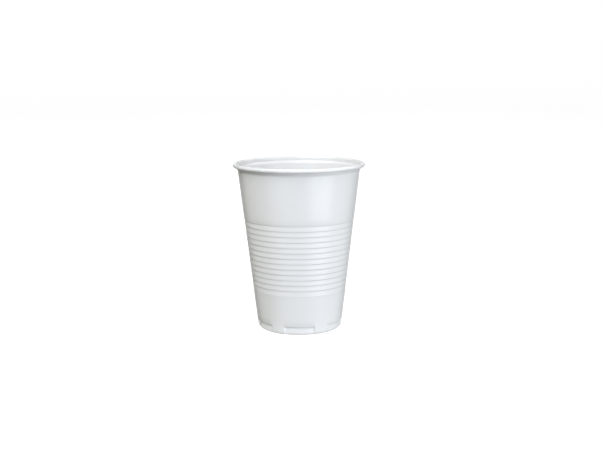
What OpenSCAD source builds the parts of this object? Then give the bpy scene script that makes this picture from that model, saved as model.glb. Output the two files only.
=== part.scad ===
// Ribbed disposable cup, thermoformed in one piece from a single sheet of plastic.
// Units are millimetres. Z is up and the origin is the centre of the ring that the cup stands on.
// One stacking notch is centred on -Y, which is the front.

/* [Overall] */
// Height from the foot to the top of the rim
cup_h = 89.2; // [87:0.1:100]
// Outside diameter of the rolled rim
rim_d = 70.3; // [69.8:0.1:71]

/* [Wall] */
// Outside diameter that the wall's taper would have at floor level
wall_low_d = 44.7; // [43.5:0.1:46]
// Outside diameter at the neck, where the rim flares out of the wall
neck_d = 65; // [64.6:0.1:65.4]
// Thickness of the wall, foot and base
wall_t = 0.3; // [0.2:0.05:0.4]

/* [Rim] */
// Thickness of the flare and the roll, where the sheet is stretched least
rim_t = 0.5; // [0.4:0.05:0.6]
// Outside diameter of the roll's own round section
roll_d = 2.24; // [2.1:0.02:2.3]
// Height of the rim from the neck to its top
rim_h = 3.8; // [3.6:0.1:4.2]
// Height of the flare between the neck and the upright under the roll
flare_h = 1.15; // [1:0.05:1.3]
// How far round the roll the sheet is curled, in degrees
roll_turn = 275; // [240:5:280]

/* [Ribs] */
// Number of steps in the ribbed band
step_count = 14; // [6:1:15]
// Distance from one step to the next
step_pitch = 2.9; // [2.7:0.1:3.1]
// Height of the lowest step's middle
step_low_z = 21.4; // [16:0.1:24]
// Height over which each step widens the cup
step_h = 0.45; // [0.4:0.05:0.7]
// How far the ring above the lowest step stands proud of the wall's taper
step_proud = 0.05; // [0:0.01:0.1]
// Draft of the rings between the steps, in degrees from upright
ring_draft = 2.5; // [0:0.5:4]

/* [Foot] */
// Radius of the corner between the wall and the foot
corner_r = 2.2; // [2.1:0.1:2.3]
// Radius of the foot ring's inner edge
ring_r = 1.1; // [0.9:0.1:1.3]
// Width of the flat that the cup stands on
foot_flat_w = 0.6; // [0.5:0.1:0.8]
// Height of the base panel's underside above the floor
panel_rise = 3; // [2.6:0.1:4]
// Radius between the base panel and the foot ring
panel_r = 0.6; // [0.5:0.1:0.9]
// Draft of the foot ring's inner side, in degrees from upright
riser_draft = 12; // [6:1:16]

/* [Stacking notches] */
// Number of notches round the foot
notch_count = 6; // [4:1:7]
// Angle that each notch covers
notch_angle = 42; // [30:0.5:44]
// Height of the top of a notch
notch_top_z = 4.85; // [4.4:0.05:6]
// Depth of a notch below the wall's surface, at its top
notch_depth = 0.8; // [0.7:0.05:0.9]
// Draft of a notch's back, in degrees from upright
notch_draft = 0; // [0:0.5:1]
// Drop of the notch's slanting ceiling from the wall to the notch's back
notch_slant = 0.75; // [0.3:0.05:0.9]
// Radius of the foot's corner inside a notch
notch_corner_r = 1.75; // [1.7:0.05:1.8]

/* [Hidden] */
$fn = 180;

neck_z = cup_h - rim_h;
wall_slope = (neck_d - wall_low_d) / 2 / neck_z;
wall_lean = atan(wall_slope);
roll_r = roll_d / 2;
roll_at = [rim_d / 2 - roll_r, cup_h - roll_r];
foot_r = corner_centre_r(wall_low_d / 2, wall_lean, corner_r);
foot_inner_r = foot_r - foot_flat_w;
notch_low_z = notch_top_z - notch_slant;
notch_back_r = wall_r(notch_low_z) - notch_depth;
notch_foot_r = corner_centre_r(notch_back_r - notch_low_z * tan(notch_draft), notch_draft, notch_corner_r);
clear = 1;

// Outside radius of the tapered wall at height z.
function wall_r(z) = wall_low_d / 2 + wall_slope * z;

// Radius of the centre of a corner arc that touches both the floor and a line that leans outward,
// in degrees from upright, and meets floor level at radius low_r.
function corner_centre_r(low_r, lean, r) = low_r + tan(lean) * r - r / cos(lean);

// Points of an arc about a centre, from angle a0 to a1, both ends included.
function arc(centre, r, a0, a1, steps) =
    [for (i = [0:steps]) let (a = a0 + (a1 - a0) * i / steps) centre + r * [cos(a), sin(a)]];

// Left-hand unit normal of the line from p to q.
function left_of(p, q) = [p.y - q.y, q.x - p.x] / norm(q - p);

// Shift of a path's corner that keeps both of its sides at unit distance from where they were.
function mitre(a, b) = (a + b) / (1 + a * b);

// Unit shift of point i of a path to its left.
function shift_at(path, i) =
    let (
        last = len(path) - 1,
        before = left_of(path[max(i, 1) - 1], path[max(i, 1)]),
        after = left_of(path[min(i, last - 1)], path[min(i, last - 1) + 1])
    )
    mitre(before, after);

// The path moved to its left by a thickness, which is larger above the neck.
function inset(path, low_t, high_t) =
    [for (i = [0:len(path) - 1])
        path[i] + (path[i].y > neck_z ? high_t : low_t) * shift_at(path, i)];

function reversed(path) = [for (i = [len(path) - 1:-1:0]) path[i]];

// Underside of the base panel, the riser and the foot ring, from the axis out to the floor.
function base_path() =
    let (
        ring_at = [foot_inner_r, ring_r],
        lean = [cos(riser_draft), sin(riser_draft)],
        along = [-sin(riser_draft), cos(riser_draft)],
        line_at = ring_at - (ring_r + panel_r) * lean,
        rise = (panel_rise - panel_r - line_at.y) / cos(riser_draft)
    )
    concat(
        [[0, panel_rise]],
        arc(line_at + rise * along, panel_r, 90, riser_draft, 5),
        arc(ring_at, ring_r, 180 + riser_draft, 270, 6)
    );

// Outer corner of the foot, up to where the straight line that leans outward begins.
function corner_path(at_r, lean, r) = arc([at_r, r], r, 270, 360 - lean, 8);

// Stepped rings: each is nearly upright, and each step brings the surface back out to the taper.
function ring_low_r(i) = wall_r(step_low_z + i * step_pitch) + step_proud;
function ring_top_r(i) = ring_low_r(i) + (step_pitch - step_h) * tan(ring_draft);
function step_z(i) = step_low_z + i * step_pitch;
function ribs_path() =
    concat(
        [[wall_r(step_z(0) - step_h / 2), step_z(0) - step_h / 2]],
        [for (i = [0:step_count - 2]) each [
            [ring_low_r(i), step_z(i) + step_h / 2],
            [ring_top_r(i), step_z(i + 1) - step_h / 2]
        ]],
        [[wall_r(step_z(step_count - 1) + step_h / 2), step_z(step_count - 1) + step_h / 2]]
    );

// Neck, flare, and the inside of the roll.
function rim_path() =
    concat(
        [[wall_r(neck_z), neck_z]],
        [[roll_at.x - roll_r + rim_t, neck_z + flare_h]],
        arc(roll_at, roll_r - rim_t, 180, 180 - roll_turn, 24)
    );

// The whole outer surface of the sheet in half section, from the axis to the end of the roll.
function cup_path() =
    concat(base_path(), corner_path(foot_r, wall_lean, corner_r), ribs_path(), rim_path());

// Outer surface of a notch in half section: floor corner, back and slanting ceiling.
function notch_path() =
    concat(
        corner_path(notch_foot_r, notch_draft, notch_corner_r),
        [[notch_back_r, notch_low_z]],
        [[wall_r(notch_top_z), notch_top_z]]
    );

// Sheet of full thickness to the left of the outer surface.
module sheet_section() {
    polygon(concat(cup_path(), reversed(inset(cup_path(), wall_t, rim_t))));
}

// Section that thickens the wall inward behind a notch. It starts in the middle of the sheet.
module notch_backing_section() {
    plain = concat(
        [[foot_inner_r, 0]],
        corner_path(foot_r, wall_lean, corner_r),
        [[wall_r(notch_top_z), notch_top_z]]
    );
    polygon(concat(
        inset(notch_path(), wall_t, wall_t),
        reversed(inset(plain, wall_t / 2, wall_t / 2))
    ));
}

// Section of the space outside a notch's surface.
module notch_cut_section() {
    ceiling_slope = notch_slant / (wall_r(notch_top_z) - notch_back_r);
    outside_r = wall_r(notch_top_z) + clear;
    polygon(concat(
        notch_path(),
        [[outside_r, notch_top_z + ceiling_slope * clear], [outside_r, -clear]],
        [[notch_foot_r, -clear]]
    ));
}

// Turns a section through the given angle, centred on each notch in turn.
module at_notches(angle) {
    for (i = [0:notch_count - 1])
        rotate([0, 0, -90 + 360 / notch_count * i - angle / 2])
            rotate_extrude(angle = angle)
                children();
}

// The cup: a sheet of even thickness, with its foot pressed in at the notches.
module cup() {
    end_wall_angle = 2 * asin(wall_t / foot_r);
    color("white")
        difference() {
            union() {
                rotate_extrude() sheet_section();
                at_notches(notch_angle + end_wall_angle) notch_backing_section();
            }
            at_notches(notch_angle) notch_cut_section();
        }
}

cup();
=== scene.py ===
"""Looks of a white, ribbed, thermoformed disposable cup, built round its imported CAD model."""
import math

import bpy
import numpy as np
from mathutils import Euler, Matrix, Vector


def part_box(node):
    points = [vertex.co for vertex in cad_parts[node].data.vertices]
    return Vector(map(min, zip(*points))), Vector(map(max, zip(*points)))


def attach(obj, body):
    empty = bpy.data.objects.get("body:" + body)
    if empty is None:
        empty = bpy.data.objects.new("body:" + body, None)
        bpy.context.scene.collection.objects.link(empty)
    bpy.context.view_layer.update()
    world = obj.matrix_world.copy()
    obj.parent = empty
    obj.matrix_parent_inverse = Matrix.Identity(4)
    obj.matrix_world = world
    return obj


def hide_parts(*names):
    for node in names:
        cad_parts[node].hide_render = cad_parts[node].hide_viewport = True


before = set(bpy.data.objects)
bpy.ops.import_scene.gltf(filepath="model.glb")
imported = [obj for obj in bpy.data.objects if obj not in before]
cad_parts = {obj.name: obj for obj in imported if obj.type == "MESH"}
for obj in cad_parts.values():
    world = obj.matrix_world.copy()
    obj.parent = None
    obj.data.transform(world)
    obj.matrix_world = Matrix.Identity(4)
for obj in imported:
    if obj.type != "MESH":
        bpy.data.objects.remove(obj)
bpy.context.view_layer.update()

MM = 0.001

# ---------------------------------------------------------------- dimensions, in millimetres
CUP_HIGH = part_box("cup")[1]
CUP_H = CUP_HIGH.z / MM
RIM_R = min(CUP_HIGH.x, CUP_HIGH.y) / MM

WALL_LOW_R = 22.35          # outside radius that the wall's taper has at floor level
NECK_R = 32.5               # outside radius where the rim flares out
WALL_T = 0.3                # sheet thickness in the wall, foot and base
RIM_T = 0.5                 # sheet thickness in the flare and the roll
RIM_H = 3.8                 # from the neck to the top of the rim
FLARE_H = 1.15              # from the neck to the upright under the roll
NECK_ROUND = 2.4            # radius that softens the neck
NECK_ROOM = 1.6             # height below the neck that is left for its rounding
FLARE_ROUND = 0.9           # radius between the flare and the upright under the roll
ROLL_R = 1.12               # radius of the roll's own round section
ROLL_TURN = 275             # degrees that the sheet is curled round the roll
NECK_Z = CUP_H - RIM_H
RIM_START_Z = NECK_Z - NECK_ROOM
TAPER = (NECK_R - WALL_LOW_R) / NECK_Z

STEP_COUNT = 14
STEP_PITCH = 2.9
STEP_LOW_Z = 21.4           # middle of the lowest step
STEP_H = 0.45               # height over which a step widens the cup
STEP_PROUD = 0.05           # how far a ring's lower edge stands proud of the wall's taper
RING_DRAFT = math.tan(math.radians(2.5))    # radius gained for each unit of rise

CORNER_R = 2.2              # between the wall and the foot
RING_R = 1.1                # inner edge of the foot ring
FLAT_INNER_R = 18.9         # where the riser's line would meet the floor
RISER_DRAFT = math.tan(math.radians(12))    # radius gained for each unit of drop
PANEL_RISE = 3.0            # base panel's underside above the floor
PANEL_CROWN = 0.25          # and its extra height at the centre
PANEL_R = 0.7               # between the panel and the riser

NOTCH_COUNT = 6
NOTCH_HALF = 21.4           # degrees from a notch's centre to its outer edge
NOTCH_EDGE = 2.2            # degrees over which its side wall sinks in
NOTCH_TOP_Z = 4.95
NOTCH_CEILING_H = 0.95      # height over which its ceiling sinks in
NOTCH_DEPTH = 0.8           # under its ceiling: its back is upright, so it is shallower lower down
NOTCH_CORNER_R = 1.75       # between its back and the foot
NOTCH_LOW_Z = NOTCH_TOP_Z - NOTCH_CEILING_H
NOTCH_BACK_R = WALL_LOW_R + TAPER * NOTCH_LOW_Z - NOTCH_DEPTH

# ---------------------------------------------------------------- mesh density
COLUMN_STEP = 2.5           # degrees between the mesh's columns
EDGE_PARTS = 6              # parts that a notch's side wall is divided into
LEAST_GAP = 0.15            # degrees: a column whose next one is closer than this is left out
ROLL_PARTS = 28             # parts that the roll's arc is divided into


def wall_r(z):
    """Outside radius of the tapered wall at a height."""
    return WALL_LOW_R + TAPER * z


def smooth(t):
    """Smooth step from 0 at 0 to 1 at 1."""
    t = np.clip(t, 0.0, 1.0)
    return t * t * (3 - 2 * t)


# ---------------------------------------------------------------- half section of the sheet
# A row is (radius, height, inward radius, inward height): a point on the sheet's outer surface and
# the vector from it to the inner surface.

def straight(p, q, count, thickness):
    """Rows along a line, leaving out its end."""
    p, q = np.array(p, float), np.array(q, float)
    along = (q - p) / np.linalg.norm(q - p)
    inward = np.array([-along[1], along[0]]) * thickness
    return [np.concatenate([p + (q - p) * i / count, inward]) for i in range(count)]


def rounded(points, radii, arc_rows, line_rows, thickness):
    """Rows along a polyline with its inner corners rounded, leaving out its end."""
    pts = [np.array(p, float) for p in points]
    rows, start = [], pts[0]
    for i in range(1, len(pts) - 1):
        a, b = pts[i] - pts[i - 1], pts[i + 1] - pts[i]
        a, b = a / np.linalg.norm(a), b / np.linalg.norm(b)
        turn = math.atan2(a[0] * b[1] - a[1] * b[0], a @ b)
        reach = radii[i - 1] * math.tan(abs(turn) / 2)
        begin = pts[i] - a * reach
        side = math.copysign(1, turn)
        left = np.array([-a[1], a[0]])
        centre = begin + left * radii[i - 1] * side
        rows += straight(start, begin, line_rows, thickness)
        for k in range(arc_rows):
            angle = turn * k / arc_rows
            c, s = math.cos(angle), math.sin(angle)
            normal = np.array([left[0] * c - left[1] * s, left[0] * s + left[1] * c])
            rows.append(np.concatenate([centre - normal * radii[i - 1] * side, normal * thickness]))
        start = centre - np.array([-b[1], b[0]]) * radii[i - 1] * side
    return rows + straight(start, pts[-1], line_rows, thickness)


def foot_rows(low_r, high_r, corner_r):
    """Base panel, riser, foot ring and corner, and the wall's line up to the foot of a notch's ceiling."""
    riser_top = FLAT_INNER_R - RISER_DRAFT * PANEL_RISE
    points = [
        (0.0, PANEL_RISE + PANEL_CROWN), (riser_top, PANEL_RISE), (FLAT_INNER_R, 0.0), (low_r, 0.0),
        (high_r, NOTCH_LOW_Z),
    ]
    return rounded(points, [PANEL_R, RING_R, corner_r], arc_rows=7, line_rows=3, thickness=WALL_T)


def wall_rows(notched):
    """Wall from the foot of a notch's ceiling to just below the neck, with the stepped rings."""
    inward = (-WALL_T, WALL_T * TAPER)
    zs = list(np.linspace(NOTCH_LOW_Z, NOTCH_TOP_Z, 8))
    zs += list(np.linspace(NOTCH_TOP_Z, STEP_LOW_Z - STEP_H / 2, 6)[1:-1])
    for i in range(STEP_COUNT):
        middle = STEP_LOW_Z + i * STEP_PITCH
        zs += list(np.linspace(middle - STEP_H / 2, middle + STEP_H / 2, 7))
        if i < STEP_COUNT - 1:
            zs += list(np.linspace(middle + STEP_H / 2, middle + STEP_PITCH - STEP_H / 2, 4)[1:-1])
    top = STEP_LOW_Z + (STEP_COUNT - 1) * STEP_PITCH + STEP_H / 2
    zs += list(np.linspace(top, RIM_START_Z, 7)[1:-1])
    rows = []
    for z in zs:
        r = ringed_r(z)
        if notched and z < NOTCH_TOP_Z:
            r = NOTCH_BACK_R + (r - NOTCH_BACK_R) * smooth((z - NOTCH_LOW_Z) / NOTCH_CEILING_H)
        rows.append(np.array([r, z, *inward]))
    return rows


def ringed_r(z):
    """Outside radius of the wall, stepped rings included."""
    low = STEP_LOW_Z - STEP_H / 2
    count = math.floor((z - low) / STEP_PITCH + 1e-9)
    if count < 0 or count >= STEP_COUNT:
        return wall_r(z)
    up = z - low - count * STEP_PITCH
    below = wall_r(z) if count == 0 else ring_r(count - 1, STEP_PITCH - STEP_H)
    above = wall_r(z) if count == STEP_COUNT - 1 else ring_r(count, max(up - STEP_H, 0.0))
    share = float(smooth(up / STEP_H))
    return below * (1 - share) + above * share


def ring_r(i, height):
    """Outside radius of ring i at a height above its lower edge."""
    return wall_r(STEP_LOW_Z + i * STEP_PITCH) + STEP_PROUD + RING_DRAFT * height


def rim_rows():
    """Neck, flare and roll. The sheet thickens through the flare."""
    upright_r = RIM_R - 2 * ROLL_R + RIM_T
    roll_at = np.array([RIM_R - ROLL_R, CUP_H - ROLL_R])
    points = [
        (wall_r(RIM_START_Z), RIM_START_Z), (NECK_R, NECK_Z), (upright_r, NECK_Z + FLARE_H),
        (upright_r, roll_at[1]),
    ]
    rows = rounded(points, [NECK_ROUND, FLARE_ROUND], arc_rows=9, line_rows=2, thickness=1.0)
    first, last = RIM_START_Z, NECK_Z + FLARE_H
    for row in rows:
        share = float(smooth((row[1] - first) / (last - first)))
        row[2:] *= WALL_T + (RIM_T - WALL_T) * share
    inside = ROLL_R - RIM_T
    for k in range(ROLL_PARTS + 1):
        angle = math.radians(180 - ROLL_TURN * k / ROLL_PARTS)
        out = np.array([math.cos(angle), math.sin(angle)])
        rows.append(np.concatenate([roll_at + out * inside, out * RIM_T]))
    return rows


def section(notched):
    """Outer and inner outlines of the sheet, as arrays of (radius, height)."""
    if notched:
        foot = foot_rows(NOTCH_BACK_R, NOTCH_BACK_R, NOTCH_CORNER_R)
    else:
        foot = foot_rows(WALL_LOW_R, wall_r(NOTCH_LOW_Z), CORNER_R)
    rows = np.array(foot + wall_rows(notched) + rim_rows())
    outer, inner = rows[:, :2], rows[:, :2] + rows[:, 2:]
    return outer, inner


# ---------------------------------------------------------------- the cup's mesh

def columns():
    """Angles of the mesh's columns, closer together where a notch's side walls are."""
    angles = set(np.round(np.arange(0, 360, COLUMN_STEP), 3))
    for i in range(NOTCH_COUNT):
        middle = -90 + 360 / NOTCH_COUNT * i
        for side in (-1, 1):
            for k in range(EDGE_PARTS + 1):
                edge = middle + side * (NOTCH_HALF - NOTCH_EDGE * k / EDGE_PARTS)
                angles.add(round(edge % 360, 3))
    angles = sorted(angles)
    return [a for a, b in zip(angles, angles[1:] + [angles[0] + 360]) if b - a > LEAST_GAP]


def notch_share(angle, widen=0.0):
    """0 on the plain foot and 1 in a notch, for a column's angle in degrees."""
    pitch = 360 / NOTCH_COUNT
    off = abs((angle + 90 + pitch / 2) % pitch - pitch / 2)
    return float(smooth((NOTCH_HALF + widen - off) / NOTCH_EDGE))


def cup_mesh():
    """The sheet turned round the axis. In each column the section is blended between plain and notched."""
    plain, notched = section(False), section(True)
    angles = columns()
    widen = math.degrees(WALL_T / WALL_LOW_R)
    # A loop runs out along the outer surface and back along the inner one, without the points on the axis.
    loops = []
    for angle in angles:
        outer_share, inner_share = notch_share(angle), notch_share(angle, widen)
        outer = plain[0] * (1 - outer_share) + notched[0] * outer_share
        inner = plain[1] * (1 - inner_share) + notched[1] * inner_share
        loops.append(np.concatenate([outer[1:], inner[:0:-1]]))
    count = len(loops[0])
    verts = []
    for angle, loop in zip(angles, loops):
        c, s = math.cos(math.radians(angle)), math.sin(math.radians(angle))
        verts += [(r * c * MM, r * s * MM, z * MM) for r, z in loop]
    under, over = len(verts), len(verts) + 1
    verts += [(0, 0, plain[0][0][1] * MM), (0, 0, plain[1][0][1] * MM)]
    faces = []
    for i in range(len(angles)):
        a, b = i * count, (i + 1) % len(angles) * count
        faces += [(a + k, b + k, b + k + 1, a + k + 1) for k in range(count - 1)]
        faces.append((under, b, a))
        faces.append((over, a + count - 1, b + count - 1))
    mesh = bpy.data.meshes.new("cup_shell")
    mesh.from_pydata(verts, [], faces)
    mesh.validate()
    mesh.shade_smooth()
    return mesh


# ---------------------------------------------------------------- material
WHITE = (0.858, 0.858, 0.858, 1)
DULL_WHITE = (0.845, 0.845, 0.842, 1)
ROUGHNESS = (0.22, 0.265)
DRAW_LINE_DEPTH = 0.000003  # metres
RIPPLE_DEPTH = 0.000012     # metres
NOISE_RANGE = (0.3, 0.7)    # where most of a noise's values lie; the others are clamped to it


def link_noise(nodes, links, coords, scale, detail, stretch=(1, 1, 1)):
    """Noise in object coordinates, stretched along an axis. The scale is in cells to the metre."""
    mapping = nodes.new("ShaderNodeMapping")
    mapping.inputs["Scale"].default_value = stretch
    noise = nodes.new("ShaderNodeTexNoise")
    noise.inputs["Scale"].default_value = scale
    noise.inputs["Detail"].default_value = detail
    links.new(coords.outputs["Object"], mapping.inputs["Vector"])
    links.new(mapping.outputs["Vector"], noise.inputs["Vector"])
    return noise.outputs["Fac"]


def link_range(nodes, links, value, low, high):
    """Spreads a noise's usual values over the range from low to high."""
    spread = nodes.new("ShaderNodeMapRange")
    spread.inputs["From Min"].default_value = NOISE_RANGE[0]
    spread.inputs["From Max"].default_value = NOISE_RANGE[1]
    spread.inputs["To Min"].default_value = low
    spread.inputs["To Max"].default_value = high
    links.new(value, spread.inputs["Value"])
    return spread.outputs["Result"]


def link_bump(nodes, links, height, depth, under=None):
    """Bump of a depth in metres, on top of the normal from under if there is one."""
    bump = nodes.new("ShaderNodeBump")
    bump.inputs["Strength"].default_value = 1.0
    bump.inputs["Distance"].default_value = depth
    links.new(height, bump.inputs["Height"])
    if under:
        links.new(under, bump.inputs["Normal"])
    return bump.outputs["Normal"]


def plastic():
    """White plastic: slightly mottled and unevenly glossy, with faint draw lines and shallow ripples."""
    material = bpy.data.materials.new("white_polystyrene")
    material.use_nodes = True
    nodes, links = material.node_tree.nodes, material.node_tree.links
    shader = nodes["Principled BSDF"]
    shader.inputs["IOR"].default_value = 1.5
    coords = nodes.new("ShaderNodeTexCoord")

    mottle = nodes.new("ShaderNodeMix")
    mottle.data_type = "RGBA"
    mottle.inputs["A"].default_value = DULL_WHITE
    mottle.inputs["B"].default_value = WHITE
    cloud = link_noise(nodes, links, coords, scale=45, detail=3)
    links.new(link_range(nodes, links, cloud, 0, 1), mottle.inputs["Factor"])
    links.new(mottle.outputs["Result"], shader.inputs["Base Color"])

    haze = link_noise(nodes, links, coords, scale=130, detail=4, stretch=(1, 1, 0.3))
    links.new(link_range(nodes, links, haze, *ROUGHNESS), shader.inputs["Roughness"])

    draw_lines = link_noise(nodes, links, coords, scale=700, detail=2, stretch=(1, 1, 0.04))
    lined = link_bump(nodes, links, draw_lines, DRAW_LINE_DEPTH)
    ripple = link_noise(nodes, links, coords, scale=110, detail=2, stretch=(1, 1, 0.5))
    links.new(link_bump(nodes, links, ripple, RIPPLE_DEPTH, under=lined), shader.inputs["Normal"])
    return material


# ---------------------------------------------------------------- stage, lights and camera
# Lengths are in metres and angles in degrees.
TABLE_RINGS = [(0, 0), (0.35, 0), (1.2, 0)]     # radius and height of its flat part's rings
TABLE_R = 2.2               # where the table starts to curve up
TABLE_CURVE_R = 0.6
TABLE_EDGE_H = 2.5
TABLE_GLOW = 0.97
FOOT_GLOW_R = 0.026
FOOT_GLOW = 0.5
FOOT_GLOW_DROP = 0.0001     # keeps it just under the table's surface
LIGHT_DISTANCE = 1.2

CAMERA_DISTANCE = 0.562     # from the cup's axis, measured level
CAMERA_HEIGHT = 0.149
CAMERA_AZIMUTH = 0.7        # to the right of the front
CAMERA_PITCH = 9.52         # looking down
CAMERA_YAW = 0.1            # turned away from the axis, to the right
CAMERA_ROLL = -0.37
CAMERA_LENS = 63.4          # millimetres, on a sensor 36 mm wide


def disc(name, radii_heights, base, glow, height=0.0):
    """A round surface turned from (radius, height) pairs that start at its middle, in metres."""
    turns = 72
    verts = [(0, 0, radii_heights[0][1] + height)]
    for i in range(turns):
        a = 2 * math.pi * i / turns
        verts += [(r * math.cos(a), r * math.sin(a), z + height) for r, z in radii_heights[1:]]
    n = len(radii_heights) - 1
    faces = []
    for i in range(turns):
        a, b = 1 + i * n, 1 + (i + 1) % turns * n
        faces += [(a + k, a + k + 1, b + k + 1, b + k) for k in range(n - 1)]
        faces.append((0, a, b))
    mesh = bpy.data.meshes.new(name)
    mesh.from_pydata(verts, [], faces)
    mesh.shade_smooth()
    obj = bpy.data.objects.new(name, mesh)
    bpy.context.scene.collection.objects.link(obj)
    material = bpy.data.materials.new(name)
    material.use_nodes = True
    shader = material.node_tree.nodes["Principled BSDF"]
    shader.inputs["Base Color"].default_value = (base, base, base, 1)
    shader.inputs["Roughness"].default_value = 0.9
    shader.inputs["Emission Color"].default_value = (1, 1, 1, 1)
    shader.inputs["Emission Strength"].default_value = glow
    mesh.materials.append(material)
    return obj


def floor():
    """A glowing white table that curves up all round, and what the foot sees of it close by."""
    angles = [math.radians(a) for a in range(0, 91, 15)]
    curve = [(TABLE_R + TABLE_CURVE_R * math.sin(a), TABLE_CURVE_R - TABLE_CURVE_R * math.cos(a))
             for a in angles]
    edge = (TABLE_R + TABLE_CURVE_R, TABLE_EDGE_H)
    table = disc("floor", TABLE_RINGS + curve + [edge], base=0.2, glow=TABLE_GLOW)
    table.visible_diffuse = False
    table.visible_glossy = False
    table.visible_transmission = False
    table.visible_shadow = False
    near = [(0, 0), (FOOT_GLOW_R, 0)]
    foot_light = disc("floor_glow", near, base=0.0, glow=FOOT_GLOW, height=-FOOT_GLOW_DROP)
    foot_light.visible_camera = False
    foot_light.visible_shadow = False


def soft_box(name, azimuth, elevation, radiance, colour, spread=45):
    """Square soft light aimed at the cup's middle. Azimuth 0 is in front, and grows to the right.

    The spread is the angle that the light covers, as seen from the cup. Its radiance is multiplied by
    its colour, channel by channel.
    """
    size = 2 * LIGHT_DISTANCE * math.tan(math.radians(spread / 2))
    data = bpy.data.lights.new(name, "AREA")
    data.size = size
    data.energy = math.pi * size * size * radiance
    data.color = colour
    obj = bpy.data.objects.new(name, data)
    bpy.context.scene.collection.objects.link(obj)
    obj.visible_camera = False
    a, e = math.radians(azimuth), math.radians(elevation)
    out = Vector((math.sin(a) * math.cos(e), -math.cos(a) * math.cos(e), math.sin(e)))
    obj.location = Vector((0, 0, CUP_H / 2 * MM)) + out * LIGHT_DISTANCE
    obj.rotation_euler = (-out).to_track_quat("-Z", "Y").to_euler()


def lights():
    """Soft boxes round the cup. Those below the table's level stand for the light that it throws up."""
    world = bpy.data.worlds.new("studio")
    bpy.context.scene.world = world
    world.use_nodes = True
    world.node_tree.nodes["Background"].inputs["Strength"].default_value = 0.0
    soft_box("key_high_left", -45, 58, 3.9, (1.0, 0.995, 1.0))
    soft_box("front", -15, 28, 2.0, (0.9, 0.96, 1.0))
    soft_box("side_right", 45, -2, 3.15, (0.86, 0.915, 1.0))
    soft_box("behind_right", 105, 28, 1.65, (1.0, 0.98, 0.955))
    soft_box("behind_left", -105, -2, 0.52, (1.0, 0.96, 0.72))
    soft_box("low_left", -45, -32, 0.75, (1.0, 0.985, 0.88))
    soft_box("low_right", 75, -32, 0.65, (1.0, 0.9, 0.87))
    soft_box("low_behind_right", 105, -32, 0.6, (0.83, 1.0, 0.92))
    soft_box("back", 180, 25, 0.8, (1.0, 1.0, 1.0), spread=50)
    soft_box("back_low", 180, -20, 0.55, (1.0, 1.0, 1.0), spread=50)


def camera():
    """Camera a little above the rim's level, looking down on the cup."""
    data = bpy.data.cameras.new("camera")
    data.lens = CAMERA_LENS
    data.sensor_width = 36
    data.clip_start = 0.01
    obj = bpy.data.objects.new("camera", data)
    bpy.context.scene.collection.objects.link(obj)
    a = math.radians(CAMERA_AZIMUTH)
    obj.location = (CAMERA_DISTANCE * math.sin(a), -CAMERA_DISTANCE * math.cos(a), CAMERA_HEIGHT)
    turn = Euler((0, 0, math.radians(CAMERA_AZIMUTH - CAMERA_YAW))).to_matrix()
    tilt = Euler((math.radians(90 - CAMERA_PITCH), 0, 0)).to_matrix()
    roll = Euler((0, 0, math.radians(CAMERA_ROLL))).to_matrix()
    obj.rotation_euler = (turn @ tilt @ roll).to_euler()
    bpy.context.scene.camera = obj


# ---------------------------------------------------------------- making the scene
camera()
lights()
floor()
cup = bpy.data.objects.new("cup_body", cup_mesh())
bpy.context.scene.collection.objects.link(cup)
cup.data.materials.append(plastic())
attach(cup, "root")
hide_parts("cup")
bpy.context.scene.view_settings.view_transform = "Standard"
